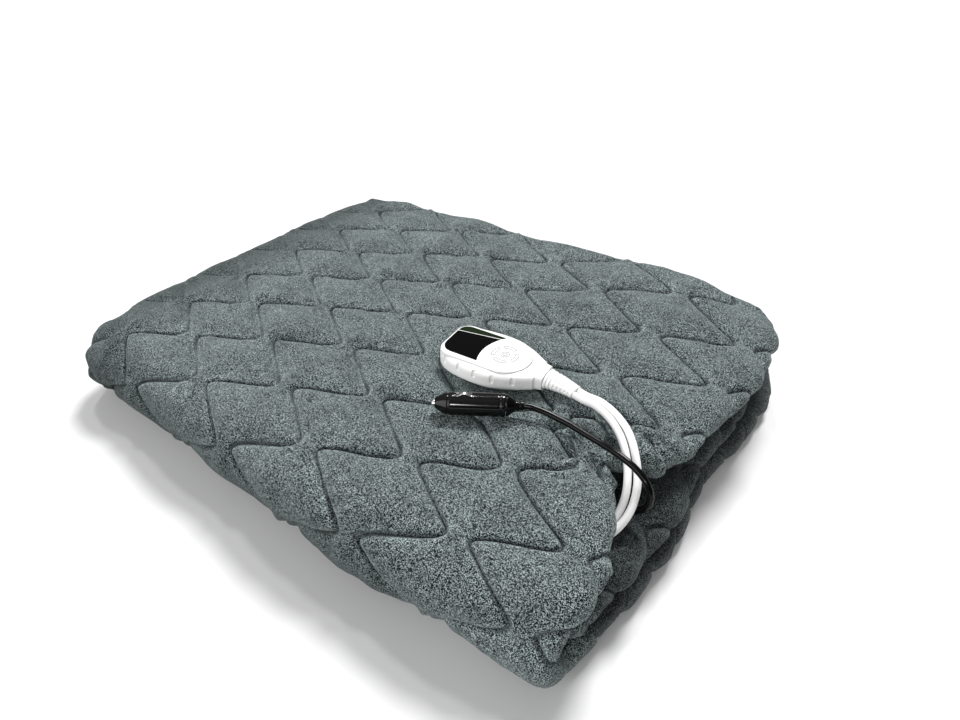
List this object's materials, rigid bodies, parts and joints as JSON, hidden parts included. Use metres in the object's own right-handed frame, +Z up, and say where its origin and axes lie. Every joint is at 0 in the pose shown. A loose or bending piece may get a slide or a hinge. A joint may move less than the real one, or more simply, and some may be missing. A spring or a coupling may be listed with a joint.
{
  "type": "electric heated blanket, folded",
  "caption": "Folded quilted fleece throw with a hand controller on its lead and a 12-volt vehicle plug lying on top.",
  "frame": {"origin": "middle of the folded pack's footprint, on the surface that it lies on", "axes": "+Z up; +X along the pack's long side, towards the round fold that the leads run over; the big front fold is at -Y"},
  "size_m": [0.6622, 0.495, 0.1091],
  "materials": {
    "fleece": "soft short pile, slate grey with a green tint",
    "white_plastic": "satin white",
    "white_rubber": "soft white moulding",
    "display_black": "polished black window",
    "display_green": "polished dark green window",
    "black_plastic": "polished black",
    "black_rubber": "smooth black sleeve",
    "nickel": "nickel plated contacts"
  },
  "bodies": {
    "pack": {"blanket": "fleece", "controller_shell": "white_plastic", "controller_cover": "white_plastic", "display_window": "display_black", "display_strip": "display_green", "button_ring": "white_rubber", "lead_boot": "white_rubber", "plug_body": "black_plastic", "plug_contact": "nickel", "plug_collar": "black_rubber", "white_lead_1": "white_rubber", "white_lead_2": "white_rubber", "black_lead": "black_rubber"},
    "button": {"power_button": "white_rubber"},
    "tip": {"plug_pin": "nickel"}
  },
  "joints": [
    {"name": "power_press", "type": "slide", "parent": "pack", "child": "button", "axis": [0, 0, -1], "range_m": [0, 0.0008], "stiffness_N_per_m": 1500},
    {"name": "tip_spring", "type": "slide", "parent": "pack", "child": "tip", "axis": [0.8348, 0.5505, 0], "range_m": [0, 0.0025], "stiffness_N_per_m": 800}
  ]
}
